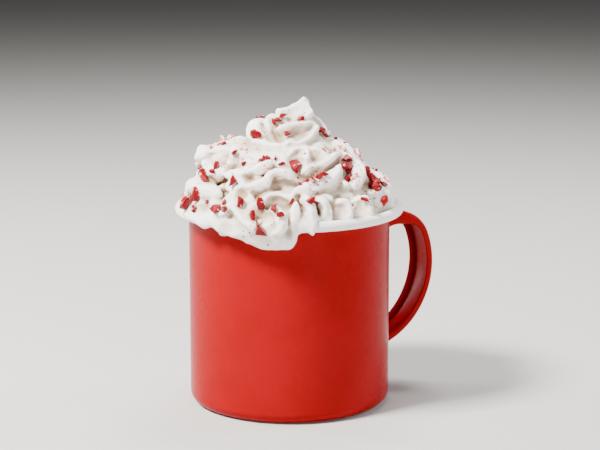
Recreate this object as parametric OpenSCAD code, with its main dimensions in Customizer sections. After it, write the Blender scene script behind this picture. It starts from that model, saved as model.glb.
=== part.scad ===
// An enamelled steel mug of hot chocolate, heaped with piped whipped cream.
// The origin is the middle of the mug's foot, +Z is up, and the handle is at +X.

/* [Mug] */
// Outer diameter of the straight wall
body_d = 90; // [60:1:110]
// Height of the rim above the table
body_h = 90.5; // [70:0.5:130]
// Thickness of the enamelled sheet
wall = 1.1; // [0.8:0.1:2]
// Radius of the corner between the wall and the foot
corner_r = 5; // [3:0.5:10]
// Depth of the panel pressed up into the foot
foot_recess = 1.2; // [0.6:0.1:2.5]
// Width of the flat ring that the mug stands on
foot_ring = 4; // [2:0.5:8]
// Radius of the flare that carries the wall out to the rim
flare_r = 9; // [7:0.5:14]
// Height of the rolled bead around the rim
bead_d = 4.6; // [3:0.1:6]
// How far the bead stands out from the wall
bead_out = 6.1; // [5:0.1:9]

/* [Handle] */
// Width of the handle strap
strap_w = 16; // [10:0.5:22]
// Depth of the channel pressed into the strap
strap_d = 3.4; // [2.6:0.1:6]
// Thickness of the strap's sheet
strap_t = 1.2; // [0.8:0.1:2]
// Radius of the strap's outer corners
strap_corner = 1.5; // [1.3:0.1:2.4]
// Diameter of the hem along each edge of the channel
hem_d = 1.8; // [1.3:0.1:2.4]
// Drop from the rim to the strap's upper end
handle_drop = 10.3; // [9:0.1:20]
// Slope at which the strap leaves the wall, in degrees
rise_angle = 28; // [0:1:35]
// Radius of the strap's upper bend
upper_bend_r = 18.4; // [14:0.2:30]
// Radius of the strap's long lower bend
lower_bend_r = 38.5; // [28:0.5:50]
// Turn of the upper bend, in degrees
upper_turn = 97; // [70:1:110]
// Turn of the lower bend, in degrees
lower_turn = 87; // [60:1:100]
// Gap between the strap's ends and the wall that they are welded to
weld_gap = 0.1; // [0.05:0.05:0.5]

/* [Drink] */
// Depth of the drink's surface below the rim
drink_drop = 10.5; // [8:0.5:40]
// Gap between the drink and the wall
drink_gap = 0.1; // [0.05:0.05:0.5]

/* [Cream] */
// Height of the cream above the rim
cream_h = 44; // [25:1:70]
// How far the cream's lowest coil stays inside the rim's outer edge
cream_inset = 4.4; // [3:0.2:12]
// Number of coils piled up
coils = 3; // [2:1:4]
// Depth of the groove between two coils
coil_groove = 4.2; // [1:0.2:6]
// Number of ridges that the nozzle leaves around a coil
ridges = 14; // [6:1:20]
// Height of those ridges
ridge_depth = 1.1; // [0:0.1:2.5]
// Twist of the ridges from the lowest coil to the tip, in degrees
ridge_twist = 150; // [0:10:360]
// Sideways lean of the middle coil
lean = 3.5; // [0:0.5:8]
// Sideways reach of the tip
tip_reach = 6; // [0:0.5:12]
// Gap between the cream and the mug
cream_gap = 0.3; // [0.1:0.1:1]
// How far the overflow runs down below the rim
overflow_drop = 11; // [6:0.5:25]
// How far the overflow bulges out past the bead
overflow_bulge = 2.6; // [2:0.1:5]

/* [Hidden] */

body_r = body_d / 2;
inner_r = body_r - wall;
bead_r = bead_d / 2;
// The bead is a circle whose top is the rim and whose outer side stands bead_out from the wall
bead_x = body_r + bead_out - bead_r;
bead_z = body_h - bead_r;
// The flare is an arc that starts on the wall and meets the bead from inside
flare_x = inner_r + flare_r;
flare_z = bead_z - sqrt(pow(flare_r - bead_r, 2) - pow(flare_x - bead_x, 2));
flare_end = atan2(bead_z - flare_z, bead_x - flare_x);
drink_z = body_h - drink_drop;

module rounded_block(r, h, corner) {
    square([r - corner, h]);
    translate([0, corner]) square([r, h - corner]);
    translate([r - corner, corner]) circle(corner, $fn = 64);
}

// Half of the panel pressed up into the foot, with a sloping edge
module foot_panel(r, h) {
    polygon([[0, -1], [r + 1, -1], [r + h * 0.4, 0], [r - h * 0.4, h], [0, h]]);
}

module flare_arc() {
    intersection() {
        translate([flare_x, flare_z]) difference() {
            circle(flare_r, $fn = 96);
            circle(flare_r - wall, $fn = 96);
        }
        translate([flare_x, flare_z])
            polygon([[0, 0], [-2 * flare_r, 0], 2 * flare_r * [cos(flare_end), sin(flare_end)]]);
    }
}

module mug_section() {
    panel_r = body_r - corner_r - foot_ring;
    difference() {
        rounded_block(body_r, flare_z, corner_r);
        foot_panel(panel_r, foot_recess);
        difference() {
            translate([-1, wall]) rounded_block(inner_r + 1, flare_z, corner_r - wall);
            translate([-1, 0]) square([1, body_h]);
            translate([0, wall]) foot_panel(panel_r + wall / 2, foot_recess);
        }
    }
    flare_arc();
    translate([bead_x, bead_z]) circle(bead_r, $fn = 64);
}

module mug_body() {
    color([0.74, 0.10, 0.09]) rotate_extrude($fn = 128) mug_section();
}

// Points of an arc about c, at n angles from a to b
function arc(c, r, a, b, n) = [for (k = [0 : n - 1]) c + r * [cos(a + (b - a) * k / (n - 1)),
                                                             sin(a + (b - a) * k / (n - 1))]];
function flip(list) = [for (k = [len(list) - 1 : -1 : 0]) [list[k][0], -list[k][1]]];

// Section of the strap as [depth, across]: 0 is its outer face, and the channel opens towards
// negative depth. Each face is worked out from a hem to the middle, and then mirrored.
strap_edge = [-strap_corner, strap_corner - strap_w / 2];
hem_r = hem_d / 2;
hem_centre = [hem_r - strap_d, hem_r - strap_w / 2];
hem_meet = asin((strap_t - hem_r) / hem_r);
function web(depth) = [for (k = [1 : 2]) [-depth, strap_edge[1] * (1 - k / 2.5)]];
outer_half = concat(arc(hem_centre, hem_r, 180, 270, 4),
                    arc(strap_edge, strap_corner, 270, 360, 4), web(0));
inner_half = concat(arc(hem_centre, hem_r, 150, hem_meet, 4),
                    arc(strap_edge, max(0.1, strap_corner - strap_t), 270, 360, 4), web(strap_t));
outer_face = concat(outer_half, flip(outer_half));
inner_face = concat(inner_half, flip(inner_half));
strap_outline = concat(outer_face, [for (k = [len(inner_face) - 1 : -1 : 0]) inner_face[k]]);

// The strap's outer face runs out from the wall, around two bends, and back to the wall
bend_step = 8;
strap_start = [body_r, body_h - handle_drop];
upper_centre = strap_start - upper_bend_r * [-sin(rise_angle), cos(rise_angle)];
mid_heading = rise_angle - upper_turn;
strap_mid = upper_centre + upper_bend_r * [-sin(mid_heading), cos(mid_heading)];
lower_centre = strap_mid - lower_bend_r * [-sin(mid_heading), cos(mid_heading)];
end_heading = mid_heading - lower_turn;
upper_steps = ceil(upper_turn / bend_step);
lower_steps = ceil(lower_turn / bend_step);

function strap_ring(centre, r, heading) =
    [for (p = strap_outline) let (q = centre + (r + p[0]) * [-sin(heading), cos(heading)])
        [q[0], p[1], q[1]]];

// A ring slid along its heading until it lies on the wall that it is welded to
function welded_ring(ring, heading) =
    [for (p = ring) let (x = sqrt(pow(body_r + weld_gap, 2) - pow(p[1], 2)))
        [x, p[1], p[2] + (x - p[0]) * tan(heading)]];

module handle() {
    n = len(strap_outline);
    half = n / 2;
    bends = concat(
        [for (k = [1 : upper_steps])
            strap_ring(upper_centre, upper_bend_r, rise_angle - upper_turn * k / upper_steps)],
        [for (k = [1 : lower_steps])
            strap_ring(lower_centre, lower_bend_r, mid_heading - lower_turn * k / lower_steps)]);
    first = welded_ring(strap_ring(upper_centre, upper_bend_r, rise_angle), rise_angle);
    last = welded_ring(bends[len(bends) - 1], end_heading);
    rings = concat([first], bends, [last]);
    m = len(rings);
    sides = [for (k = [0 : m - 2]) for (i = [0 : n - 1]) let (j = (i + 1) % n, p = k * n)
        each [[p + i, p + j, p + n + i], [p + j, p + n + j, p + n + i]]];
    // A cap is a strip between the section's outer and inner face
    start_cap = [for (k = [0 : half - 2])
        each [[k, n - 1 - k, k + 1], [k + 1, n - 1 - k, n - 2 - k]]];
    end_cap = [for (f = start_cap) [for (i = [2, 1, 0]) f[i] + (m - 1) * n]];
    color([0.74, 0.10, 0.09]) polyhedron([for (r = rings) each r], concat(sides, start_cap, end_cap));
}

module drink_section() {
    r = inner_r - drink_gap;
    lift = wall + drink_gap;
    panel_r = body_r - corner_r - foot_ring + wall / 2;
    difference() {
        translate([0, lift]) rounded_block(r, drink_z - lift, corner_r - wall - drink_gap);
        translate([0, lift]) foot_panel(panel_r, foot_recess);
    }
}

module hot_chocolate() {
    color([0.30, 0.17, 0.10]) rotate_extrude($fn = 128) drink_section();
}

// The cream's skin is a ring of columns. Each column runs from the drink's surface up the
// inside of the wall, over the bead as far as the cream reaches, and then back to the tip.
columns = 72;
lip_rows = 8;
bead_rows = 6;
under_rows = 4;
hem_rows = 6;
dome_rows = 29;
hidden_rows = lip_rows + bead_rows + under_rows + 1;

// The hidden face follows the wall, the flare, the bead, the hollow below it and the wall again
lip_angle = 112;
under_angle = -60;
cover_r = bead_r + cream_gap;
wall_run = flare_z - drink_z;
flare_run = (flare_r + cream_gap) * (180 - flare_end) * PI / 180;
bead_run = cover_r * (flare_end - under_angle) * PI / 180;
under_start = [bead_x, bead_z] + cover_r * [cos(under_angle), sin(under_angle)];
under_end = [body_r + cream_gap, bead_z - 2.4 * bead_r];
under_run = norm(under_end - under_start);

// A point [radius, height] on the mug's skin, a distance s up from the drink's surface
function contact(s) =
    s <= wall_run ? [inner_r - cream_gap, drink_z + s] :
    s <= wall_run + flare_run ?
        let (a = 180 - (s - wall_run) / (flare_r + cream_gap) * 180 / PI)
        [flare_x, flare_z] + (flare_r + cream_gap) * [cos(a), sin(a)] :
    s <= wall_run + flare_run + bead_run ?
        let (a = flare_end - (s - wall_run - flare_run) / cover_r * 180 / PI)
        [bead_x, bead_z] + cover_r * [cos(a), sin(a)] :
    s <= wall_run + flare_run + bead_run + under_run ?
        let (u = (s - wall_run - flare_run - bead_run) / under_run)
        under_start + u * (under_end - under_start) :
        under_end - [0, s - wall_run - flare_run - bead_run - under_run];

// 0 outside the range from a to d, 1 between b and c, and a smooth rise and fall between
function ease(t) = let (u = min(1, max(0, t))) u * u * (3 - 2 * u);
function window(x, a, b, c, d) = ease((x - a) / (b - a)) * ease((d - x) / (d - c));

// Share of the bead that the cream covers at an angle, and of the full drop below it
function bead_share(a) = window(a, 161, 193, 236, 268);
function under_share(a) = max(
    window(a, 205, 222, 238, 245),
    0.30 * window(a, 186, 194, 200, 208),
    0.12 * window(a, 246, 250, 252, 257));

// Every stretch keeps a small length, so that no face of the skin has a side of no length
least_run = 0.2;
lip_run = wall_run + flare_run + cover_r * (flare_end - lip_angle) * PI / 180;
bead_length = cover_r * (lip_angle - under_angle) * PI / 180;
under_length = under_run + under_end[1] - (body_h - overflow_drop);
function bead_reach(a) = max(least_run, bead_length * bead_share(a));
function under_reach(a) = max(least_run, under_length * under_share(a));
function hidden_run(a, k) =
    k <= lip_rows ? lip_run * k / lip_rows :
    k <= lip_rows + bead_rows ? lip_run + bead_reach(a) * (k - lip_rows) / bead_rows :
    lip_run + bead_reach(a) + under_reach(a) * (k - lip_rows - bead_rows) / under_rows;
function overflow(a) = (bead_reach(a) + under_reach(a)) / (bead_length + under_length);

// The dome: v runs from 0 at the rim to 1 at the tip
dome_r = body_r + bead_out - cream_inset;
dome_lift = 0.6;
dome_start = 0.03;
dome_power = 1.3;
dome_least_r = 0.4;
function dome_height(v) = cream_h * pow(v, 0.92);
function dome_radius(v) =
    dome_r * pow(1 - pow(min(1, dome_height(v) / cream_h), dome_power), 1 / dome_power);
function coil_wave(a, v) = abs(sin(180 * (coils * v + a / 360 - 0.5)));
function dome_shift(v) =
    lean * sin(180 * v) * [cos(150), sin(150)] + tip_reach * pow(v, 5) * [cos(330), sin(330)];
function dome_point(a, v) =
    let (fade = ease(v / 0.12) * ease((1 - v) / 0.25),
         bump = coil_groove * (coil_wave(a, v) - 0.75) * fade,
         rib = ridge_depth * cos(ridges * a + ridge_twist * v) * fade,
         r = max(dome_least_r, dome_radius(v) + bump + rib),
         xy = dome_shift(v) + r * [cos(a), sin(a)])
    [xy[0], xy[1], body_h + dome_lift + dome_height(v) + 0.4 * bump * fade];

// The hem joins the end of the hidden face to the dome with a rounded edge
function hem_point(a, u) =
    let (base = contact(hidden_run(a, hidden_rows - 1)),
         top = dome_point(a, dome_start),
         mix = base + u * ([norm([top[0], top[1]]), top[2]] - base),
         out = (1 + (overflow_bulge + bead_out - 1) * overflow(a)) * sin(180 * u))
    [(mix[0] + out) * cos(a), (mix[0] + out) * sin(a), mix[1] + 0.3 * out * (1 - u)];

function cream_point(a, k) =
    k < hidden_rows ? let (c = contact(hidden_run(a, k))) [c[0] * cos(a), c[0] * sin(a), c[1]] :
    k < hidden_rows + hem_rows ? hem_point(a, (k - hidden_rows + 1) / (hem_rows + 1)) :
    dome_point(a, dome_start + (1 - dome_start) * (k - hidden_rows - hem_rows) / dome_rows);

module whipped_cream() {
    rows = hidden_rows + hem_rows + dome_rows;
    skin = [for (k = [0 : rows - 1]) for (i = [0 : columns - 1]) cream_point(360 * i / columns, k)];
    tip = dome_shift(1);
    points = concat(skin, [[0, 0, drink_z], [tip[0], tip[1], body_h + dome_lift + cream_h]]);
    walls = [for (k = [0 : rows - 2]) for (i = [0 : columns - 1])
        let (j = (i + 1) % columns, p = k * columns)
        each [[p + i, p + columns + i, p + j], [p + j, p + columns + i, p + columns + j]]];
    floor_fan = [for (i = [0 : columns - 1]) [rows * columns, i, (i + 1) % columns]];
    tip_fan = [for (i = [0 : columns - 1])
        [(rows - 1) * columns + (i + 1) % columns, (rows - 1) * columns + i, rows * columns + 1]];
    color([0.96, 0.94, 0.90]) polyhedron(points, concat(walls, floor_fan, tip_fan));
}

mug_body();
handle();
hot_chocolate();
whipped_cream();
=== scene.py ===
# %% [markdown]
# # Hot chocolate with whipped cream and crushed peppermint
# A pressed steel mug, dipped in red enamel and rimmed in white, holds a drink that is hidden under
# piped whipped cream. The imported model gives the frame: every size below is in metres and starts
# from the boxes of its nodes, so each new piece lands where the construction says.

# %% Load the frame
import math
import random
import bpy
import bmesh
import numpy as np
from mathutils import Matrix, Vector, noise
from mathutils.bvhtree import BVHTree


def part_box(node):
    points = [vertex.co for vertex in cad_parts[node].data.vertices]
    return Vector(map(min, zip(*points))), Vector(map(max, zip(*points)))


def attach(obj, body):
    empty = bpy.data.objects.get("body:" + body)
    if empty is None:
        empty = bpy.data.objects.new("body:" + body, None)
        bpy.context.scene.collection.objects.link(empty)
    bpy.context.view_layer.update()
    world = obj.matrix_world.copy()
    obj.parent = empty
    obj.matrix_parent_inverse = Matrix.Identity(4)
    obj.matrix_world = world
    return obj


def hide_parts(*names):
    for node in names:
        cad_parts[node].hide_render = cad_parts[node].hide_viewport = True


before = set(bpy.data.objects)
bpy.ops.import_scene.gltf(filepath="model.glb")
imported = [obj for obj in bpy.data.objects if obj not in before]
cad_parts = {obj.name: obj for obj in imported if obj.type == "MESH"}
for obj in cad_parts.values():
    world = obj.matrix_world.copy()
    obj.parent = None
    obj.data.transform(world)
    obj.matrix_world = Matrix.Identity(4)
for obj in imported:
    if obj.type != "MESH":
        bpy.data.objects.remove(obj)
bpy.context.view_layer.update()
MM = 0.001
TURN = 2 * math.pi
mug_low, mug_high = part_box("mug_body")
print("mug, in mm:", [round(v / MM, 1) for v in mug_high - mug_low])

# %% [markdown]
# ## The served side
# A mug is served with its handle to the right and a little away from the guest. Lengths across,
# towards and above the guest are easier to choose than x, y and z, so one matrix turns the first
# into the second, and the camera, the lights and the cream all use it.

# %% Served side
served_turn = math.radians(-30)
SERVED = Matrix.Rotation(served_turn, 4, "Z") @ Matrix.Scale(-1, 4, (0, 1, 0))


def served(side, front, up):
    """A point given in millimetres to the right, towards the guest and up."""
    return SERVED @ (Vector((side, front, up)) * MM)


# %% [markdown]
# The guest looks slightly down on the mug from less than a metre away, through a long lens, so the
# wall's sides stay almost parallel.

# %% Camera
camera_rise = math.radians(13.4)
camera_distance = 0.81
aim = served(4.8, 0, 79.9)
level = Vector((0, math.cos(camera_rise), math.sin(camera_rise)))
camera_data = bpy.data.cameras.new("camera")
camera_data.lens = 107.2
camera = bpy.data.objects.new("camera", camera_data)
camera.location = SERVED @ (level * camera_distance) + Vector((0, 0, mug_high.z / 2))
camera.rotation_euler = (aim - camera.location).to_track_quat("-Z", "Y").to_euler()
bpy.context.scene.collection.objects.link(camera)
bpy.context.scene.camera = camera
print("camera at", [round(v, 3) for v in camera.location])

# %% [markdown]
# ## Helpers for meshes
# A bmesh holds a piece while operators shape it. Closing a piece always takes the same steps:
# merge doubled vertices, turn the faces outwards, and write the mesh to an object at the origin.


# %% Mesh helpers
def close_piece(bm, name, material, merge=0.00001, flip=True):
    bmesh.ops.remove_doubles(bm, verts=bm.verts, dist=merge)
    if flip:
        bmesh.ops.recalc_face_normals(bm, faces=bm.faces)
    for face in bm.faces:
        face.smooth = True
    mesh = bpy.data.meshes.new(name)
    bm.to_mesh(mesh)
    bm.free()
    piece = bpy.data.objects.new(name, mesh)
    piece.data.materials.append(material)
    bpy.context.scene.collection.objects.link(piece)
    return piece


def arc(centre, radius, start, end, count):
    """Points of an arc in a section, with its angles in degrees."""
    angles = [math.radians(start + (end - start) * k / (count - 1)) for k in range(count)]
    return [centre + radius * Vector((math.cos(a), math.sin(a))) for a in angles]


def open_outline(bm, points):
    """Vertices and edges along a section that lies in the XZ plane."""
    verts = [bm.verts.new((p.x, 0, p.y)) for p in points]
    return verts + [bm.edges.new(pair) for pair in zip(verts, verts[1:])]


def triangles(piece):
    return sum(len(p.vertices) - 2 for p in piece.data.polygons)


# %% [markdown]
# ## Materials
# Every finish is a Principled shader with nodes for what varies over the surface. A small class
# keeps the node wiring short: it adds nodes, links them, and reads Object coordinates, which are
# metres in the mug's own frame.


# %% Material helper
class Finish:
    def __init__(self, name, **constants):
        self.material = bpy.data.materials.new(name)
        self.material.use_nodes = True
        self.tree = self.material.node_tree
        self.shader = self.tree.nodes["Principled BSDF"]
        self.coordinates = self.add("ShaderNodeTexCoord").outputs["Object"]
        for socket, value in constants.items():
            self.shader.inputs[socket.replace("_", " ")].default_value = value

    def add(self, kind, **settings):
        node = self.tree.nodes.new(kind)
        for key, value in settings.items():
            setattr(node, key, value)
        return node

    def link(self, source, target):
        self.tree.links.new(source, target)
        return target

    def noise(self, size_mm, detail=2.0, roughness=0.5):
        node = self.add("ShaderNodeTexNoise")
        node.inputs["Scale"].default_value = 1 / (size_mm * MM)
        node.inputs["Detail"].default_value = detail
        node.inputs["Roughness"].default_value = roughness
        self.link(self.coordinates, node.inputs["Vector"])
        return node.outputs["Fac"]

    def value(self, source, low, high, start=0.0, end=1.0):
        node = self.add("ShaderNodeMapRange")
        for key, number in (("From Min", start), ("From Max", end), ("To Min", low), ("To Max", high)):
            node.inputs[key].default_value = number
        self.link(source, node.inputs["Value"])
        return node.outputs["Result"]

    def math(self, operation, first, second):
        node = self.add("ShaderNodeMath", operation=operation)
        for socket, source in zip(node.inputs, (first, second)):
            if isinstance(source, (int, float)):
                socket.default_value = source
            else:
                self.link(source, socket)
        return node.outputs["Value"]

    def mix(self, factor, first, second):
        node = self.add("ShaderNodeMix", data_type="RGBA")
        self.link(factor, node.inputs[0])
        for socket, source in ((node.inputs[6], first), (node.inputs[7], second)):
            if isinstance(source, tuple):
                socket.default_value = (*source, 1)
            else:
                self.link(source, socket)
        return node.outputs[2]

    def bump(self, height, depth_mm, normal=None):
        node = self.add("ShaderNodeBump")
        node.inputs["Strength"].default_value = 1
        node.inputs["Distance"].default_value = depth_mm * MM
        self.link(height, node.inputs["Height"])
        if normal is not None:
            self.link(normal, node.inputs["Normal"])
        return node.outputs["Normal"]


# %% [markdown]
# ## Enamel
# Vitreous enamel is coloured glass fused to steel. It is glossy but not flat: it has a faint
# orange peel, slow waves left by dipping, and a few fine specks. The white rim coat is dipped
# last, so its edge wanders a little under the bead, and the red thins where it meets it.

# %% Enamel material
RED_DEEP = (0.235, 0.0015, 0.003)
RED_BRIGHT = (0.255, 0.002, 0.004)
RED_THIN = (0.17, 0.002, 0.002)
RIM_WHITE = (0.86, 0.845, 0.83)
RIM_SHADE = (0.79, 0.775, 0.76)
white_edge_z = mug_high.z - 4.55 * MM
inner_wall_r = 43.9 * MM


def make_enamel():
    finish = Finish("red_and_white_enamel", Specular_IOR_Level=0.04)
    place = finish.add("ShaderNodeSeparateXYZ")
    finish.link(finish.coordinates, place.inputs[0])
    across = finish.math("POWER", place.outputs["X"], 2)
    along = finish.math("POWER", place.outputs["Y"], 2)
    radius = finish.math("SQRT", finish.math("ADD", across, along), 0)
    wander = finish.value(finish.noise(7), -0.35 * MM, 0.35 * MM)
    height = finish.math("ADD", place.outputs["Z"], wander)
    above = finish.value(height, 0, 1, white_edge_z - 0.12 * MM, white_edge_z + 0.12 * MM)
    inside = finish.value(radius, 1, 0, inner_wall_r + 0.2 * MM, inner_wall_r + 0.5 * MM)
    lifted = finish.value(place.outputs["Z"], 0, 1, 3.0 * MM, 3.2 * MM)
    white = finish.math("MAXIMUM", above, finish.math("MULTIPLY", inside, lifted))
    near_edge = finish.value(height, 0, 1, white_edge_z - 2.4 * MM, white_edge_z - 0.3 * MM)
    tone = finish.mix(finish.value(finish.noise(22, 3), 0, 1, 0.35, 0.65), RED_DEEP, RED_BRIGHT)
    tone = finish.mix(finish.math("MULTIPLY", near_edge, 0.5), tone, RED_THIN)
    specks = finish.value(finish.noise(0.55, 1), 0, 0.6, 0.74, 0.80)
    tone = finish.mix(specks, tone, RED_THIN)
    pale = finish.mix(finish.value(finish.noise(5, 3), 0, 1, 0.4, 0.7), RIM_WHITE, RIM_SHADE)
    finish.link(finish.mix(white, tone, pale), finish.shader.inputs["Base Color"])
    rough = finish.value(finish.noise(14, 4), 0.22, 0.33)
    finish.link(rough, finish.shader.inputs["Roughness"])
    waves = finish.bump(finish.noise(16, 1), 0.22)
    peel = finish.bump(finish.noise(1.3, 2), 0.012, waves)
    finish.link(peel, finish.shader.inputs["Normal"])
    return finish.material


enamel = make_enamel()
print("white coat from", round(white_edge_z / MM, 1), "mm up")

# %% [markdown]
# ## Mug
# The cup is drawn from one disc of steel: flat foot ring, shallow panel, straight wall, flare and
# a rolled bead. Its section is a closed outline, and a spin around the axis turns it into the cup.
# Spinning a section keeps the wall an even thickness, as drawing does.

# %% Mug section
body_r = 45.0 * MM
wall = 1.1 * MM
corner_r = 5.0 * MM
recess = 1.2 * MM
foot_ring = 4.0 * MM
flare_r = 9.0 * MM
bead_r = 2.3 * MM
inner_r = body_r - wall
bead = Vector((mug_high.x - bead_r, mug_high.z - bead_r))
flare = Vector((inner_r + flare_r, 0))
flare.y = bead.y - math.sqrt((flare_r - bead_r) ** 2 - (flare.x - bead.x) ** 2)
meet_angle = math.degrees(math.atan2(bead.y - flare.y, bead.x - flare.x))
panel_r = body_r - corner_r - foot_ring
ARC_STEPS = 14


def mug_outline():
    corner = Vector((body_r - corner_r, corner_r))
    under = math.degrees(math.acos(((flare_r - wall) ** 2 + (flare - bead).length ** 2 - bead_r ** 2)
                                   / (2 * (flare_r - wall) * (flare - bead).length)))
    crossing = flare + (flare_r - wall) * Vector((math.cos(math.radians(meet_angle + under)),
                                                  math.sin(math.radians(meet_angle + under))))
    start = math.degrees(math.atan2(crossing.y - bead.y, crossing.x - bead.x)) % 360
    step = ((-0.5, 1), (-0.2, 0.85), (0.3, 0.12), (0.6, 0))
    points = [Vector((0, recess))]
    points += [Vector((panel_r + across * recess, up * recess)) for across, up in step]
    points += arc(corner, corner_r, 270, 360, ARC_STEPS)
    points += [Vector((body_r, flare.y * k / 6)) for k in (2, 3, 4, 5)]
    points += arc(flare, flare_r - wall, 180, meet_angle + under, ARC_STEPS)
    points += arc(bead, bead_r, start, meet_angle + 360, 3 * ARC_STEPS)[1:]
    points += arc(flare, flare_r, meet_angle, 180, ARC_STEPS)[1:]
    points += [Vector((inner_r, flare.y * k / 6)) for k in (5, 4, 3, 2)]
    points += arc(corner, corner_r - wall, 360, 270, ARC_STEPS)
    points += [Vector((panel_r + 0.8 * recess, wall)), Vector((panel_r, wall + recess))]
    points += [Vector((0, wall + recess))]
    return points


def make_mug():
    bm = bmesh.new()
    geom = open_outline(bm, mug_outline())
    bmesh.ops.spin(bm, geom=geom, cent=(0, 0, 0), axis=(0, 0, 1), angle=TURN, steps=144, use_merge=True)
    return close_piece(bm, "mug_shell", enamel)


mug = make_mug()
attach(mug, "root")
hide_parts("mug_body")
print("mug shell:", triangles(mug), "triangles")

# %% [markdown]
# ## Handle
# The handle is a strip pressed into a channel with hemmed edges, bent twice and welded to the
# wall before enamelling. Its section is spun around the centre of each bend, and its ends run
# straight into the wall.

# %% Handle
strap_w = 16.0 * MM
strap_d = 3.4 * MM
strap_t = 1.2 * MM
strap_corner = 1.5 * MM
hem_r = 0.9 * MM
strap_z = mug_high.z - 10.3 * MM
rise = math.radians(28)
upper_r, upper_turn = 18.4 * MM, math.radians(97)
lower_r, lower_turn = 38.5 * MM, math.radians(87)
seat_depth = 0.6 * MM
flange_gain = 0.8
full_flange_turn, flange_fade_turn = 35, 50


def heading_normal(angle):
    return Vector((-math.sin(angle), 0, math.cos(angle)))


def strap_outline():
    """The channel's section as (depth, across): depth 0 is the strap's outer face."""
    edge = Vector((-strap_corner, strap_corner - strap_w / 2))
    hem = Vector((hem_r - strap_d, hem_r - strap_w / 2))
    meet = math.degrees(math.asin((strap_t - hem_r) / hem_r))
    outer = arc(hem, hem_r, 180, 270, 6) + arc(edge, strap_corner, 270, 360, 7)
    inner = arc(hem, hem_r, 165, meet, 7) + arc(edge, strap_corner - strap_t + 0.25 * MM, 280, 350, 5)
    mirrored = [Vector((p.x, -p.y)) for p in outer]
    mirrored_inner = [Vector((p.x, -p.y)) for p in inner]
    return outer + mirrored[::-1] + mirrored_inner + inner[::-1]


def deepen_upper_flanges(bm, centre):
    """The channel is deepest where it leaves the wall, and gets shallower round the upper bend."""
    for vert in bm.verts:
        reach = Vector((vert.co.x - centre.x, 0, vert.co.z - centre.z))
        depth = upper_r - reach.length
        turned = math.degrees(rise - math.atan2(-reach.x, reach.z))
        if depth < strap_t or turned > full_flange_turn + flange_fade_turn:
            continue
        fade = min(1, max(0, (turned - full_flange_turn) / flange_fade_turn))
        vert.co -= reach.normalized() * depth * flange_gain * (1 - fade * fade * (3 - 2 * fade))


def make_handle():
    bm = bmesh.new()
    start = Vector((body_r, 0, strap_z))
    upper_centre = start - upper_r * heading_normal(rise)
    middle = rise - upper_turn
    lower_centre = upper_centre + (upper_r - lower_r) * heading_normal(middle)
    normal = heading_normal(rise)
    verts = [bm.verts.new(upper_centre + normal * (upper_r + p.x) + Vector((0, p.y, 0)))
             for p in strap_outline()]
    ring = verts + [bm.edges.new(pair) for pair in zip(verts, verts[1:] + verts[:1])]
    bends = ((upper_centre, upper_turn, 24), (lower_centre, lower_turn, 28))
    last = ring
    for centre, angle, steps in bends:
        bent = bmesh.ops.spin(bm, geom=last, cent=centre, axis=(0, 1, 0), angle=angle, steps=steps)
        last = bent["geom_last"]
    deepen_upper_flanges(bm, upper_centre)
    finish_heading = middle - lower_turn
    for end, heading in ((ring, rise), (last, finish_heading)):
        edges = [g for g in end if isinstance(g, bmesh.types.BMEdge)]
        run = bmesh.ops.extrude_edge_only(bm, edges=edges)["geom"]
        verts = [g for g in run if isinstance(g, bmesh.types.BMVert)]
        for vert in verts:
            seat = math.sqrt(body_r ** 2 - vert.co.y ** 2) - seat_depth
            vert.co.z += (seat - vert.co.x) * math.tan(heading)
            vert.co.x = seat
        bmesh.ops.contextual_create(bm, geom=[g for g in run if isinstance(g, bmesh.types.BMEdge)])
    return close_piece(bm, "handle_strap", enamel)


handle = make_handle()
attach(handle, "root")
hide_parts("handle")
print("handle:", triangles(handle), "triangles")

# %% [markdown]
# ## Drink
# The drink fills the mug below the cream and touches its wall. Its node already has the right
# shape, so it stays and only gets a finish: milky brown, with fine froth and a wet surface.


# %% Drink material
def make_drink_finish():
    finish = Finish("milky_chocolate", Roughness=0.2, IOR=1.35)
    froth = finish.value(finish.noise(2.2, 4), 0, 1, 0.45, 0.6)
    tone = finish.mix(froth, (0.17, 0.075, 0.035), (0.28, 0.14, 0.075))
    finish.link(tone, finish.shader.inputs["Base Color"])
    finish.link(finish.bump(finish.noise(1.2, 3), 0.08), finish.shader.inputs["Normal"])
    return finish.material


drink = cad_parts["hot_chocolate"]
drink.data.materials.clear()
drink.data.materials.append(make_drink_finish())

# %% [markdown]
# ## Whipped cream
# Cream pressed through a star nozzle keeps the nozzle's sharp ridges and hollow flutes, and it folds
# as it lands. The heap is built the way a sculptor would: a plain mound first, then folds and rolls
# laid over it, and at the end everything melts into one skin. Each of them is a sheet of quads that
# is wrapped around a path, so one function makes them all: it lays a grid and moves its vertices.


# %% Wrapped sheets
def wrap_sheet(bm, u_steps, v_steps, place):
    """A grid whose vertices go to place(u, v), with u and v from 0 to 1."""
    grid = bmesh.ops.create_grid(bm, x_segments=u_steps, y_segments=v_steps, size=0.5)["verts"]
    for vert in grid:
        vert.co = place(vert.co.x + 0.5, vert.co.y + 0.5)


def curve(knots, t):
    """A point on the smooth curve through the knots, with t from 0 to 1."""
    reach = min(max(t, 0), 1) * (len(knots) - 1)
    i = min(int(reach), len(knots) - 2)
    t = reach - i
    b, c = knots[i], knots[i + 1]
    a = knots[i - 1] if i else b * 2 - c
    d = knots[i + 2] if i + 2 < len(knots) else c * 2 - b
    return 0.5 * (2 * b + (c - a) * t + (2 * a - 5 * b + 4 * c - d) * t * t
                  + (3 * b - a - 3 * c + d) * t ** 3)


def straight(points, t):
    """A value from (place, value) pairs, with a straight run between them."""
    for (a, low), (b, high) in zip(points, points[1:]):
        if t <= b:
            return low + (high - low) * max(0, t - a) / (b - a)
    return points[-1][1]


# %% [markdown]
# The mound leans to one side in the middle, as the heap was piled a little off centre. Its radius is
# where the crests of the folds lie, and the mound itself stays a flute's depth inside that.

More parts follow.
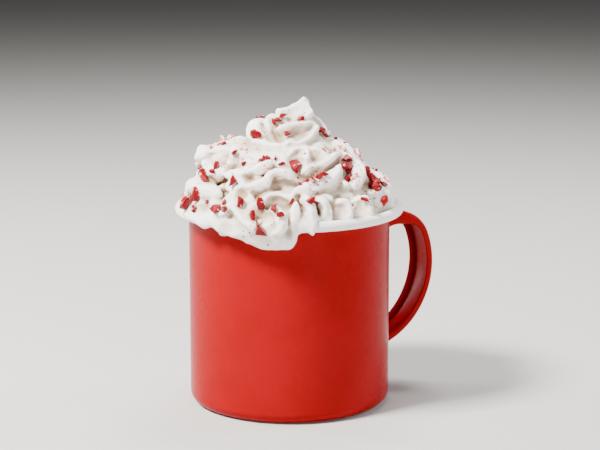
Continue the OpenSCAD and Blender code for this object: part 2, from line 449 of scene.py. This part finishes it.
# %% Mound
MOUND_R = ((79, 40), (84, 43), (90, 46.5), (94, 46.5), (99, 45), (103, 41), (108, 37), (113, 35),
           (116, 31), (118, 24), (121, 20), (124, 17.5), (127, 14.5), (129, 11), (131, 6), (135, 0.6))
MOUND_SIDE = ((79, 0), (94, -1), (99, 0), (103, 0), (108, -4), (113, -5), (116, -4), (118, 0),
              (121, 0), (124, -2), (129, -2), (131, 3), (135, 7))
FLUTE = 4.4


def on_mound(angle, up, inset=0.0):
    """The mound's skin at an angle right of the guest's side and a height, in mm."""
    r = max(0.0, straight(MOUND_R, up) - inset)
    a = math.radians(angle)
    return Vector((straight(MOUND_SIDE, up) + r * math.sin(a), r * math.cos(a), up))


def add_mound(bm):
    def place(u, v):
        inset = FLUTE if 0 < v < 1 else 99
        return served(*on_mound(360 * u, 79.9 + 52 * v, inset))
    wrap_sheet(bm, 96, 60, place)


# %% [markdown]
# A fold's section is a witch's hat: a thin crest with hollow flanks, so two folds side by side leave
# a round flute between them. A roll's section is a circle. Droop pushes a fold's crest down over its
# root, which gives the dark crease under a ribbon.

# %% Folds and rolls
HALF_HAT = ((8, 9.5), (8, 7.0), (5.4, 5.7), (3.4, 4.0), (2.1, 2.3), (1.3, 0.9), (0.8, 0))
HAT = HALF_HAT + ((0, -0.2),) + tuple((-w, d) for w, d in HALF_HAT[::-1]) + HALF_HAT[:1]


def outward(point):
    """The way a crest points: away from the heart of the heap."""
    heart = Vector((straight(MOUND_SIDE, point.z), 0, max(80, point.z - 15)))
    return (point - heart).normalized()


def add_fold(bm, knots, size=1.0, droop=0.0, skew=0.0, sink=2.5):
    """Lays a sharp fold whose crest runs through the knots, in mm to the side, front and up."""
    knots = [Vector(k) for k in knots]
    length = sum((b - a).length for a, b in zip(knots, knots[1:]))

    def place(u, v):
        crest = curve(knots, u)
        ahead = (curve(knots, u + 0.03) - curve(knots, u - 0.03)).normalized()
        out = outward(crest)
        across = ahead.cross(out).normalized()
        end = min(1, min(u, 1 - u) * length / 3)
        width, depth = HAT[round(v * (len(HAT) - 1))]
        width *= 1 - skew if width > 0 else 1 + 0.4 * skew
        scale = size * math.sqrt(end)
        low = Vector((0, 0, droop * min(1, depth / 5)))
        return served(*(crest + across * width * scale - out * (depth * scale + sink * (1 - end)) + low))
    wrap_sheet(bm, 9 * (len(knots) - 1), len(HAT) - 1, place)


def add_roll(bm, knots, ridges=5, flute=0.2, twist=90):
    """Lays a piped roll along knots of (side, front, up, radius) in mm."""
    knots = [Vector(k) for k in knots]

    def place(u, v):
        heart = curve(knots, u)
        ahead = (curve(knots, u + 0.03) - curve(knots, u - 0.03)).xyz.normalized()
        out = outward(heart.xyz)
        across = ahead.cross(out).normalized()
        out = across.cross(ahead)
        end = min(1, 5 * min(u, 1 - u))
        turn = TURN * v
        star = 1.1 - flute * abs(math.sin(ridges / 2 * (turn + math.radians(twist) * u))) ** 0.8
        radius = heart.w * math.sqrt(1 - (1 - end) ** 2) * star
        return served(*(heart.xyz + radius * (math.cos(turn) * across + math.sin(turn) * out)))
    wrap_sheet(bm, 10 * (len(knots) - 1), 40, place)


# %% [markdown]
# The folds of the tip and of the guest's side are laid one by one, from the top down. Each knot is a
# place in whole millimetres to the side, towards the guest and above the table.

# %% Tip
TIP_FOLDS = (
    ((8, 1, 140), (5, 3, 137), (0, 4, 134), (-4, 4, 133), (-8, 4, 133)),
    ((-9, 6, 133), (-10, 12, 128), (-8, 16, 123), (-6, 19, 120), (-2, 23, 118), (3, 25, 118)),
    ((-7, 14, 126), (-2, 15, 127), (3, 14, 128), (8, 11, 128), (14, 4, 127)),
    ((14, 6, 127), (12, 11, 125), (9, 16, 122), (4, 20, 120), (0, 21, 121), (-2, 23, 119)),
    ((8, 0, 140), (9, 0, 134), (10, -1, 130), (14, 1, 128), (17, 3, 123), (18, 7, 118)),
    ((0, 29, 116), (2, 26, 118), (5, 24, 118), (8, 24, 118), (8, 28, 116), (8, 32, 113)),
    ((8, 20, 120), (11, 22, 118), (14, 22, 117), (17, 23, 115), (19, 24, 113)),
    ((8, 0, 136), (4, -6, 130), (-2, -12, 126), (-10, -14, 124), (-16, -8, 124), (-18, 0, 122)),
    ((15, 2, 124), (14, -10, 122), (6, -17, 121), (-5, -19, 120), (-16, -14, 119)))
TIP_ROLLS = (
    ((-10, 6, 128, 4), (-13, 8, 125, 5), (-14, 10, 122, 5), (-13, 13, 119, 5), (-8, 17, 116, 5),
     (-3, 19, 115, 5), (2, 20, 116, 4)),
    ((12, 5, 122, 4), (13, -4, 120, 5), (4, -12, 119, 6), (-8, -10, 119, 6), (-14, 0, 120, 5)))

# %% [markdown]
# In the middle the ribbon goes round the heap in broad loops. Two rolls side by side leave a soft
# crease between them, so a loop reads as a ribbon pressed against its neighbour.

# %% Middle
MIDDLE_FOLDS = (
    ((6, 35, 110), (9, 33, 111), (12, 31, 112), (17, 26, 113), (21, 20, 115), (24, 14, 115)),
    ((22, 31, 105), (25, 31, 104), (28, 31, 102)),
    ((-24, 6, 119), (-25, 16, 117), (-26, 24, 114), (-27, 27, 111)),
    ((-36, 6, 114), (-30, 3, 117), (-27, 3, 119), (-24, 3, 118), (-18, 6, 117)),
    ((4, 43, 100), (9, 42, 101), (12, 40, 102)),
    ((29, 8, 114), (32, 12, 110), (33, 18, 107), (33, 24, 104)),
    ((-39, 8, 111), (-38, 14, 110), (-35, 20, 109), (-31, 26, 108)))
MIDDLE_ROLLS = (
    ((18, 4, 115, 4), (21, 6, 115, 4), (24, 8, 113, 4), (26, 12, 110, 4), (27, 17, 107, 3)),
    ((1, 41, 102, 2), (8, 39, 103, 3.5), (13, 36, 104, 4), (17, 31, 105, 4), (20, 26, 107, 3),
     (23, 20, 111, 2)),
    ((26, 10, 111, 3), (29, 13, 109, 3), (30, 19, 106, 4), (29, 24, 103, 3), (27, 29, 102, 3)),
    ((34, 5, 103, 4), (38, 9, 100, 5), (39, 15, 97, 5), (38, 23, 95, 5)),
    ((-36, 9, 112, 4), (-37, 2, 112, 5), (-35, -8, 111, 4), (-29, -12, 111, 4), (-22, -10, 112, 4)),
    ((-40, 9, 105, 3), (-36, 17, 105, 3), (-31, 24, 107, 3), (-27, 27, 109, 2)),
    ((-28, 28, 107, 2), (-23, 31, 108, 2.6), (-17, 33, 109, 3), (-12, 34, 111, 2.6), (-7, 32, 114, 2)),
    ((-27, 29, 103, 3), (-22, 33, 103, 4), (-16, 35, 103, 4), (-11, 37, 105, 3), (-8, 36, 108, 2)),
    ((-41, 12, 94, 4), (-42, 11, 98, 4.5), (-39, 18, 100, 4.5), (-35, 27, 100, 4), (-29, 34, 99, 3)),
    ((-43, 10, 91, 3), (-42, 15, 92, 4), (-38, 23, 93, 4.5), (-33, 31, 94, 4), (-28, 37, 95, 3)))

# %% [markdown]
# Near the rim the cream is crowded. To the right it stands in short pleats, each lower than the one
# before, and in front narrow rolls hang down beside the overflow.

# %% Rim side
RIM_FOLDS = (
    ((-11, 44, 95), (-11, 44, 99), (-9, 42, 101), (-5, 42, 102), (-2, 42, 101), (1, 44, 100),
     (3, 45, 97)),
    ((-36, 37, 91), (-32, 41, 92), (-28, 45, 94), (-25, 46, 97), (-21, 50, 93), (-17, 53, 90),
     (-13, 55, 87)),
    ((12, 44, 96), (12, 43, 99), (15, 41, 100), (18, 41, 99), (20, 41, 97)))
RIM_STEPS = (
    ((8, 44, 97), (14, 43, 99), (17, 43, 97), (18, 45, 93), (18, 44, 87)),
    ((19, 42, 97), (24, 41, 99), (26, 41, 97), (27, 42, 93), (27, 40, 87)),
    ((28, 35, 97), (33, 33, 99), (35, 33, 97), (36, 34, 93), (36, 32, 87)),
    ((37, 26, 100), (42, 19, 99), (45, 14, 96), (46, 13, 92), (46, 13, 87)))
RIM_ROLLS = (
    ((-9, 39, 103, 1.4), (-9, 39, 107, 1.8), (-8, 38, 109, 1.8), (-5, 37, 110, 1.8), (-1, 37, 109, 1.8),
     (1, 38, 107, 1.4)),
    ((-9, 46, 95, 1), (-6, 50, 96, 2), (-4, 52, 94, 2.6), (-3, 54, 91, 2.6), (-4, 54, 88, 2),
     (-8, 54, 86, 1)),
    ((3, 45, 99, 1.6), (2.4, 48.5, 95, 2.4), (1.6, 51, 90.5, 2.6), (1, 51.2, 85, 2.4),
     (0.6, 50.6, 80, 2)),
    ((4, 43, 98, 1.6), (7, 43.5, 99, 2.2), (9, 45.5, 96, 2.4), (9.2, 48, 92, 2.4), (9.6, 50.6, 88, 1.8),
     (10, 51.6, 85, 0.6)),
    ((12, 42, 99, 1.6), (14, 43, 98, 2.2), (15, 44, 95, 2.2), (15, 44.5, 90, 1.2)))

# %% [markdown]
# The far side follows the same habit, rising to the right: steep pleats on the rim, slanting folds
# above them. A seeded random generator spaces them, so that they look casual but never change.


# %% Far side
FAR_ROWS = ((68, 298, 11, 90, 9, 6, 1.0), (62, 300, 17, 96, 9, 26, 1.1),
            (60, 300, 23, 104, 9, 34, 1.2), (70, 290, 36, 112, 7, 44, 1.2))


def add_far_side(bm):
    """Rows of folds: first and last angle, step, height, climb and run of a fold, and its size."""
    rng = random.Random(11)
    for start, end, step, up, climb, run, size in FAR_ROWS:
        angle = start
        while angle < end:
            tall = climb * rng.uniform(0.7, 1.2)
            wide = run * rng.uniform(0.6, 1.3)
            low = up + rng.uniform(-1.5, 1.5)
            out = rng.uniform(-1.5, 0.8)
            knots = [on_mound(angle + wide * t + rng.uniform(-2, 2), low + tall * t, -out)
                     for t in (0, 0.33, 0.67, 1)]
            add_fold(bm, knots, size * rng.uniform(0.85, 1.15), droop=rng.choice((0, 0, 2)))
            angle += step * rng.uniform(0.8, 1.2)


# %% [markdown]
# On the guest's left the cream ran over the rim. It hangs there as one thick, smooth sheet. Its
# section goes out over the bead and back along the metal, and it stops at the edge's height, which
# changes from place to place.

# %% Overflow
SHEET = (((38, 84), (38, 95)), ((43, 86), (43.5, 95.3)), ((46.3, 89.5), (47.5, 94.3)),
         ((48.6, 90.4), (50.2, 92.9)), ((50.2, 89.8), (52.3, 90.8)), ((50.9, 88.2), (53.2, 88.2)),
         ((50.2, 86.6), (53.3, 85.6)), ((47.5, 85), (52.8, 83.2)), ((45, 82.8), (52, 80.9)),
         ((44.6, 80), (51, 78.6)), ((44.6, 77.5), (50, 76.5)))
EDGE = ((-80, 93.5), (-70, 91), (-62, 88), (-50, 86), (-45, 84), (-40, 86), (-35, 83.5), (-30, 82),
        (-23, 80), (-18, 78), (-14, 77.2), (-6, 77), (0, 77.3), (2.2, 78.5), (3.4, 84.5), (8.5, 86),
        (10.5, 84), (11.6, 86), (12.6, 90), (14, 92.5), (18, 94))
SHEET_START, SHEET_SPAN = -80, 98
WOBBLE = 0.4


def add_overflow(bm):
    """Hangs the sheet between its first and last angle, and closes it at its lip and ends."""
    outer = [Vector(o) for _, o in SHEET]
    inner = [Vector(i) for i, _ in SHEET]
    stations = [(-o.y, k) for k, o in enumerate(outer)]

    def place(u, v):
        angle = SHEET_START + SHEET_SPAN * u
        last = straight(stations[1:], -straight(EDGE, angle)) / (len(SHEET) - 1)
        t = 1 - abs(1 - 2 * v)
        along = last * t
        body = math.sqrt(max(0, 1 - t ** 10) * min(1, 12 * t) * min(1, 20 * u, 20 - 20 * u))
        point = curve(inner, along)
        if v < 0.5:
            point = point + (curve(outer, along) - point) * body
        a = math.radians(angle)
        r = point.x
        if v < 0.5:
            r += WOBBLE * noise.noise(Vector((angle * 0.1, along * 4, 2)))
        return served(r * math.sin(a), r * math.cos(a), point.y)
    wrap_sheet(bm, 196, 60, place)


# %% [markdown]
# A nozzle's flutes and a spoon's back leave hollows. Each dent pushes the finished skin inwards
# around one place: side, front, up, radius and depth in mm. Dents could be cut with spheres, but a
# push with a soft edge leaves no rim. Low ridges from noise then break up what is still too smooth.

# %% Dents
DENTS = (
    (-5, 17, 124, 5, 2.5), (4, 16, 125, 5, 1.5), (-31, 20, 115, 6, 3.5), (-24, 0, 120, 9, 3.5),
    (-28, -8, 118, 8, 3), (-24, -14, 119, 8, 3), (-19, 5, 121, 5, 1.5), (7, 35, 108, 7, 2.5),
    (13, 32, 110, 5, 2.5), (-5, 40, 105, 4.5, 3), (-12, 48, 93, 6, 3), (7, 47, 92, 4, 2),
    (-33, 24, 103, 6, 2.5), (-17, 35, 108, 3.5, 2), (-20, 39, 100, 4, 2.5), (22, 37, 101, 4, 2.5),
    (30, 31, 100, 3.5, 2), (16, 30, 109, 4, 2), (-27, 46, 87, 5, 1.5), (3, 31, 115, 5, 2.5),
    (20, 14, 118, 5, 1.8), (-44, 14, 97, 5, 1.5), (0, 50, 92, 3.5, 1.5), (0, 53, 87, 3.5, 1.2),
    (23, 41, 94, 4, 1.5), (31, 35, 94, 4, 1.5), (40, 23, 94, 5, 1.5), (-36, 32, 94, 6, 1.5),
    (14, 44, 95, 4, 1.5), (-23, 26, 115, 6, 2), (26, 22, 110, 5, 1.5), (12, 26, 115, 4, 1.5))


def skin_of(mesh):
    """A tree that finds the nearest skin, or the skin along a line."""
    return BVHTree.FromPolygons([v.co for v in mesh.vertices], [p.vertices for p in mesh.polygons])


def press_dents(piece):
    mesh = piece.data
    skin = skin_of(mesh)
    places = np.empty(len(mesh.vertices) * 3)
    mesh.vertices.foreach_get("co", places)
    places = places.reshape(-1, 3)
    for side, front, up, radius, depth in DENTS:
        centre = skin.find_nearest(served(side, front, up))[0]
        inward = (SERVED.to_3x3() @ outward(Vector((side, front, up)))) * -depth * MM
        away = np.linalg.norm(places - np.array(centre), axis=1) / (radius * MM)
        places += np.clip(1 - away ** 2, 0, 1)[:, None] ** 2 * np.array(inward)
    mesh.vertices.foreach_set("co", places.ravel())
    mesh.update()


# %% Crumple
RIDGE_MM, RIDGE_SIZE = 0.65, Vector((7, 7, 5))
GRAIN_MM, GRAIN_SIZE = 0.15, 1.7


def crumple(piece):
    """Raises low, sharp ridges all over, as stiff cream tears and sets."""
    mesh = piece.data
    moved = []
    for vertex in mesh.vertices:
        spot = vertex.co / MM
        ridge = 0.3 - abs(noise.noise(Vector(c / size for c, size in zip(spot, RIDGE_SIZE))))
        grain = noise.noise(spot / GRAIN_SIZE)
        moved.append(vertex.co + vertex.normal * (ridge * RIDGE_MM + grain * GRAIN_MM) * MM)
    for vertex, place in zip(mesh.vertices, moved):
        vertex.co = place
    mesh.update()


# %% [markdown]
# Whipped cream is white only where light falls on it. In a fold the light passes through fat and
# foam several times and comes back warm, so the finish paints that shade in: it mixes a brown into
# creases and into places that nearby cream hides from the sky, and it paints a highlight, a brighter
# white, onto the crests. Two attributes of the mesh, made below, say which is which.

# %% Cream material
def make_cream_finish():
    finish = Finish("whipped_cream", Roughness=0.5, Subsurface_Weight=0.15, Subsurface_Scale=0.0015)
    finish.shader.inputs["Subsurface Radius"].default_value = (1.0, 0.7, 0.45)
    hollow = finish.add("ShaderNodeAttribute", attribute_name="hollow").outputs["Fac"]
    uneven = finish.value(finish.noise(6, 3), 0, 1, 0.3, 0.7)
    tone = finish.mix(uneven, (0.77, 0.70, 0.625), (0.73, 0.655, 0.575))
    painted_shade = finish.add("ShaderNodeAttribute", attribute_name="painted_shade").outputs["Fac"]
    # painted shade: a brown mixed in where nearby cream hides much of the sky
    tone = finish.mix(finish.value(painted_shade, 0, 1, 0.03, 0.34), tone, (0.43, 0.32, 0.22))
    # painted shade: a deeper brown in creases that lie below their smoothed surroundings
    tone = finish.mix(finish.value(hollow, 0, 1, 0.1, 0.9), tone, (0.36, 0.25, 0.15))
    # painted highlight: a brighter white on crests that stand above their smoothed surroundings
    crest = finish.value(hollow, 1, 0, -0.6, -0.05)
    tone = finish.mix(finish.math("MULTIPLY", crest, 0.9), tone, (0.93, 0.885, 0.835))
    finish.link(tone, finish.shader.inputs["Base Color"])
    soft = finish.bump(finish.noise(2.0, 4), 0.18)
    fine = finish.bump(finish.noise(0.45, 2), 0.03, soft)
    finish.link(fine, finish.shader.inputs["Normal"])
    return finish.material


cream_finish = make_cream_finish()


# %% [markdown]
# Melting is a voxel remesh: all the shells become one skin, and a little smoothing rounds the joins
# the way soft cream closes over itself. A union would keep every thin sliver where shells cross.

# %% Melt the cream
def melted(piece, voxel_mm, smoothing):
    """Melts overlapping shells into one skin, smooths it, and keeps the result as the mesh."""
    remesh = piece.modifiers.new("melt", "REMESH")
    remesh.mode = "VOXEL"
    remesh.voxel_size = voxel_mm * MM
    soften = piece.modifiers.new("soften", "SMOOTH")
    soften.factor = 0.5
    soften.iterations = smoothing
    evaluated = piece.evaluated_get(bpy.context.evaluated_depsgraph_get())
    mesh = bpy.data.meshes.new_from_object(evaluated)
    piece.modifiers.clear()
    piece.data = mesh
    for polygon in mesh.polygons:
        polygon.use_smooth = True


# %% [markdown]
# The first attribute compares the skin with a smoothed copy of itself: where the copy lies above,
# there is a hollow. The second counts how many of a dozen rays towards the sky meet cream. The finish
# paints shade from both, and paints highlights on the crests that the first finds.

# %% Hollows
def store_hollows(piece, rounds, depth_mm):
    """Stores how far each vertex lies below (above 0) or above (below 0) its smoothed surroundings."""
    mesh = piece.data
    count = len(mesh.vertices)
    places = np.empty(count * 3)
    mesh.vertices.foreach_get("co", places)
    places = places.reshape(count, 3)
    normals = np.empty(count * 3)
    mesh.vertices.foreach_get("normal", normals)
    pairs = np.empty(len(mesh.edges) * 2, dtype=np.int64)
    mesh.edges.foreach_get("vertices", pairs)
    first, second = pairs.reshape(-1, 2).T
    links = np.bincount(pairs, minlength=count)[:, None]
    smooth = places.copy()
    for _ in range(rounds):
        total = smooth.copy()
        for axis in range(3):
            total[:, axis] += np.bincount(first, smooth[second, axis], count)
            total[:, axis] += np.bincount(second, smooth[first, axis], count)
        smooth = total / (links + 1)
    depth = ((smooth - places) * normals.reshape(count, 3)).sum(axis=1) / (depth_mm * MM)
    layer = mesh.attributes.new("hollow", "FLOAT", "POINT")
    layer.data.foreach_set("value", depth.astype(np.float32))
    print("hollows:", round(float(depth.min()), 2), "to", round(float(depth.max()), 2))


# %% Shelter
GOLDEN_TURN = 2.4


def sky_rays(count):
    """Directions that cover a half sphere evenly, more of them near its top."""
    rays = []
    for k in range(count):
        height = math.sqrt((k + 0.5) / count)
        flat = math.sqrt(1 - height * height)
        rays.append(Vector((flat * math.cos(GOLDEN_TURN * k), flat * math.sin(GOLDEN_TURN * k), height)))
    return rays


def store_shelter(piece, rays=12, reach_mm=14):
    """Stores how much of its sky each vertex loses to nearby cream: 0 in the open, 1 in a pit."""
    mesh = piece.data
    skin = skin_of(mesh)
    reach = reach_mm * MM
    sky = sky_rays(rays)
    values = []
    for vertex in mesh.vertices:
        turn = vertex.normal.to_track_quat("Z", "Y").to_matrix()
        start = vertex.co + vertex.normal * 0.3 * MM
        lost = 0
        for way in sky:
            distance = skin.ray_cast(start, turn @ way, reach)[3]
            if distance is not None:
                lost += 1 - distance / reach
        values.append(lost / rays)
    # the cream's finish paints shade from this value: brown where much of the sky is lost
    layer = mesh.attributes.new("painted_shade", "FLOAT", "POINT")
    layer.data.foreach_set("value", values)
    print("shelter: mean", round(sum(values) / len(values), 3), "most", round(max(values), 3))


# %% [markdown]
# Now the heap comes together: mound, folds, rolls, far side and overflow in one mesh, which is then
# melted, dented and measured. The voxel is as fine as a mesh under 200,000 triangles allows.

# %% Cream
voxel_mm = 0.61


def make_cream():
    bm = bmesh.new()
    add_mound(bm)
    for knots in TIP_FOLDS:
        add_fold(bm, knots, 0.8)
    for knots in MIDDLE_FOLDS + RIM_FOLDS:
        add_fold(bm, knots)
    for knots in RIM_STEPS:
        add_fold(bm, knots, 1.1, skew=0.6)
    for knots in TIP_ROLLS + MIDDLE_ROLLS + RIM_ROLLS:
        add_roll(bm, knots)
    add_far_side(bm)
    add_overflow(bm)
    piece = close_piece(bm, "cream_swirl", cream_finish)
    melted(piece, voxel_mm, smoothing=2)
    press_dents(piece)
    crumple(piece)
    store_hollows(piece, rounds=90, depth_mm=1.6)
    store_shelter(piece)
    return piece


cream = make_cream()
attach(cream, "root")
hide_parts("whipped_cream")
print("cream:", triangles(cream), "triangles")

# %% [markdown]
# ## Crushed peppermint
# Hard candy breaks into angular splinters: red ones from the stripes, white and pink ones from the
# inside. The sugar is cloudy, so each finish mixes its colour with a darker cloud, and here and
# there a band of the other colour crosses a splinter.

# %% Peppermint material
def make_candy_finish(name, body, streak, share):
    """Boiled sugar: share says how rarely a band of the streak colour crosses the body colour."""
    finish = Finish(name, Specular_IOR_Level=0.2)
    bands = finish.value(finish.noise(2.2, 1), 0, 1, share, share + 0.05)
    cloud = finish.value(finish.noise(0.7, 2), 0, 1, 0.35, 0.7)
    body = finish.mix(cloud, body, tuple(c * 0.6 for c in body))
    tone = finish.mix(bands, body, streak)
    finish.link(tone, finish.shader.inputs["Base Color"])
    finish.link(finish.value(finish.noise(0.9), 0.15, 0.45), finish.shader.inputs["Roughness"])
    finish.link(finish.bump(finish.noise(0.35, 2), 0.04), finish.shader.inputs["Normal"])
    return finish.material


# %% [markdown]
# A splinter could be a cube with its corners cut off, but broken sugar has no square corners. The
# hull of a few random points has facets of every shape. It is laid flat on the cream and sunk a
# little, and its inner points are deleted.

# %% Splinters
def add_splinter(bm, rng, place, normal, size, flat=0.5, points=9, sunk=0.1):
    """A hull of random points, size mm long, on the cream at place."""
    lie = normal.to_track_quat("Z", "Y").to_matrix()
    lie = lie @ Matrix.Rotation(rng.uniform(0, TURN), 3, "Z")
    lie = lie @ Matrix.Rotation(rng.uniform(-0.5, 0.5), 3, "X")
    narrow = rng.uniform(0.5, 0.8)
    verts = []
    for _ in range(points):
        spot = Vector([rng.uniform(-1, 1) for _ in range(3)]).normalized()
        spot *= rng.uniform(0.75, 1.15)
        spot = Vector((spot.x, spot.y * narrow, spot.z * flat)) * (size * 0.5 * MM)
        verts.append(bm.verts.new(place + lie @ spot + normal * (size * (flat * 0.45 - sunk) * MM)))
    hull = bmesh.ops.convex_hull(bm, input=verts)
    spare = [g for g in hull["geom_interior"] + hull["geom_unused"] if isinstance(g, bmesh.types.BMVert)]
    bmesh.ops.delete(bm, geom=list(set(spare)), context="VERTS")


# %% [markdown]
# The larger splinters on the guest's side have chosen places: side, front, up and size in mm. The
# skin isn't exactly there, so each slides along the guest's line of sight until it meets cream.

# %% Places
CHIPS = (
    (-13, 5, 129, 4), (-15, 13, 122, 4.5), (-3, 11, 130, 3), (-5, 12, 129, 3), (-7, 14, 128, 2.5),
    (5, 10, 129, 3), (-1, 17, 124, 2.5), (14, 8, 124, 4), (16, 11, 122, 2.5), (-24, 24, 116, 3),
    (-29, 2, 117, 2.5), (-12, 32, 114, 2), (-11, 32, 115, 2), (-9, 32, 115, 2.5), (-6, 32, 115, 2),
    (-3, 34, 113, 2.5), (2, 35, 112, 5), (-39, 12, 108, 3), (-31, 24, 110, 4), (-33, 23, 108, 2.5),
    (-37, 18, 105, 5), (-24, 34, 105, 4.5), (-19, 32, 113, 2.5), (-40, 22, 98, 5.5), (-45, 14, 91, 6),
    (-41, 24, 91, 3.5), (-35, 31, 96, 2), (-31, 38, 93, 5), (-27, 38, 97, 2.5), (-27, 40, 95, 3),
    (-21, 42, 97, 4.5), (-12, 45, 98, 4), (-16, 47, 93, 4), (-13, 53, 88, 6.5), (-6, 50, 96, 3.5),
    (-4, 51, 94, 3), (1, 45, 99, 3), (9, 45, 99, 3.5), (12, 44, 98, 3.5), (5, 39, 105, 2.5),
    (7, 38, 106, 2.5), (8, 37, 106, 2), (10, 36, 106, 2.5), (12, 35, 107, 2.5), (13, 33, 107, 3),
    (15, 32, 108, 3), (25, 18, 112, 4.5), (23, 23, 110, 3.5), (27, 20, 109, 4), (25, 24, 108, 4),
    (25, 30, 105, 3.5), (34, 12, 106, 3.5), (37, 16, 103, 6), (38, 20, 102, 5), (38, 23, 100, 5),
    (35, 24, 102, 3), (42, 14, 100, 4), (33, 31, 97, 3.5), (41, 21, 95, 4.5))
PALE_CHIPS = (
    (-30, 0, 120, 4), (-26, 0, 120, 3), (-34, 8, 116, 2.5), (-10, 35, 111, 3), (-48, 2, 93, 3),
    (-43, 2, 104, 2.5), (30, 4, 113, 4.5), (22, 14, 117, 2), (24, 14, 116, 2), (17, 22, 116, 3),
    (43, 4, 101, 4), (-21, 18, 117, 2), (-19, 20, 117, 2), (28, 26, 105, 2.5), (29, 22, 106, 2),
    (26, 25, 106, 2.5))
CRUMB_PATCHES = (
    ((10, 36, 107), 3, 30), ((-21, 28, 111), 5, 24), ((-30, 0, 120), 3, 10), ((24, 14, 115), 3, 16),
    ((37, 18, 102), 3.5, 30), ((-13, 51, 91), 3.5, 30), ((-12, 32, 114), 3.5, 18),
    ((-34, 22, 108), 4, 16), ((26, 22, 109), 4, 24), ((0, 12, 128), 4, 12))
cream_skin = skin_of(cream.data)
print(len(CHIPS), "red and", len(PALE_CHIPS), "pale splinters have chosen places")


def seen(side, front, up):
    """The cream's skin and its normal where the guest's line of sight through a place meets it."""
    eye = camera.location
    place, normal, _, _ = cream_skin.ray_cast(eye, (served(side, front, up) - eye).normalized())
    if place is None:
        place, normal, _, _ = cream_skin.find_nearest(served(side, front, up))
    return place, normal


# %% [markdown]
# Crumbs lie in patches where the candy was dropped, and the rest of the heap gets splinters and
# crumbs from above. Red and pale ones share one stream of random numbers and go to two meshes.

# %% Crumbs
def add_crumbs(meshes, rng, centre, spread, count, largest):
    """Strews crumbs of both colours around a place."""
    for _ in range(count):
        offset = Vector([rng.gauss(0, spread) for _ in range(3)])
        place, normal = seen(*(Vector(centre) + offset))
        size = rng.uniform(0.6, largest)
        add_splinter(meshes[rng.random() < 0.4], rng, place, normal, size, flat=0.7, points=6)


HEAP_R, TIP_UP, SKY_UP = 45, 128, 160


def strew(meshes, rng, count, largest, pale_share):
    """Drops splinters from above all over the heap but its tip, fewer on the guest's side."""
    left = count
    while left:
        side = rng.uniform(-HEAP_R - 1, HEAP_R + 1)
        front = rng.uniform(-HEAP_R - 1, HEAP_R + 1)
        if math.hypot(side, front) > HEAP_R or (front > 0 and rng.random() < 0.75):
            continue
        place, normal, _, _ = cream_skin.ray_cast(served(side, front, SKY_UP), Vector((0, 0, -1)))
        if place is None or place.z > TIP_UP * MM:
            continue
        left -= 1
        size = largest * (0.35 + 0.65 * rng.random() ** 2)
        add_splinter(meshes[rng.random() < pale_share], rng, place, normal, size)


# %% [markdown]
# The chosen splinters come first, each with two crumbs beside it, then the patches and the strewing.
# All the red ones make one piece and all the pale ones another, because nobody moves them apart.

# %% Peppermint
CHIP_SCALE = 1.55


def make_peppermint():
    rng = random.Random(5)
    meshes = bmesh.new(), bmesh.new()
    for bm, chips in zip(meshes, (CHIPS, PALE_CHIPS)):
        for side, front, up, size in chips:
            place, normal = seen(side, front, up)
            add_splinter(bm, rng, place, normal, size * CHIP_SCALE, flat=0.6, points=12)
            add_crumbs(meshes, rng, (side, front, up), spread=1.8, count=2, largest=1.1)
    for centre, spread, count in CRUMB_PATCHES:
        add_crumbs(meshes, rng, centre, spread, count, largest=1.4)
    strew(meshes, rng, 100, largest=5.0, pale_share=0.35)
    strew(meshes, rng, 260, largest=1.5, pale_share=0.5)
    red_finish = make_candy_finish("peppermint_red", (0.21, 0.0004, 0.004), (0.66, 0.30, 0.28), 0.66)
    pale_finish = make_candy_finish("peppermint_pale", (0.70, 0.20, 0.20), (0.80, 0.66, 0.64), 0.5)
    pieces = [close_piece(meshes[0], "peppermint_stripes", red_finish, merge=0),
              close_piece(meshes[1], "peppermint_hearts", pale_finish, merge=0)]
    for piece in pieces:
        for polygon in piece.data.polygons:
            polygon.use_smooth = False
        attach(piece, "root")
        print(piece.name, triangles(piece), "triangles")


make_peppermint()

# %% [markdown]
# ## Studio
# The mug stands on a wide, plain floor. It is a little grey, because a white one would mirror in
# the enamel where the wall turns away and wash out its red.

# %% Floor
floor_half = 3.0


def make_floor():
    bm = bmesh.new()
    bmesh.ops.create_grid(bm, x_segments=1, y_segments=1, size=floor_half)
    finish = Finish("pale_floor", Roughness=0.7)
    finish.shader.inputs["Base Color"].default_value = (0.5, 0.49, 0.48, 1)
    return close_piece(bm, "floor", finish.material, flip=False)


floor = make_floor()
print("floor:", 2 * floor_half, "m wide")

# %% [markdown]
# The key light comes from the upper left and models the folds. Two narrow strips behind the mug
# draw its edges, a weak light in front opens the shadows, and one above lifts the heap from behind.
# The world adds a trace of cool light from all around, as a dim room does.

# %% Lights
mug_heart = served(0, 0, 80)


def softbox(name, side, front, up, size, power, color=(1, 1, 1)):
    """An area light at a place in mm, as wide and as high as size says in metres, in watts."""
    data = bpy.data.lights.new(name, "AREA")
    data.shape = "RECTANGLE"
    data.size, data.size_y = size
    data.energy = power
    data.color = color
    light = bpy.data.objects.new(name, data)
    light.location = served(side, front, up)
    light.rotation_euler = (mug_heart - light.location).to_track_quat("-Z", "Y").to_euler()
    bpy.context.scene.collection.objects.link(light)
    print(name, "light:", power, "W")


softbox("key", -600, 380, 920, (0.25, 0.25), 55, (1, 0.96, 0.91))
softbox("left_strip", -800, -350, 350, (0.1, 0.8), 9)
softbox("right_strip", 850, -300, 350, (0.1, 0.8), 7)
softbox("front_fill", 500, 900, 250, (0.4, 0.4), 7)
softbox("top", 100, -400, 900, (0.4, 0.3), 10)

# %% World
world = bpy.data.worlds.new("studio")
world.use_nodes = True
background = world.node_tree.nodes["Background"]
background.inputs["Color"].default_value = (0.93, 0.95, 1, 1)
background.inputs["Strength"].default_value = 0.05
bpy.context.scene.world = world
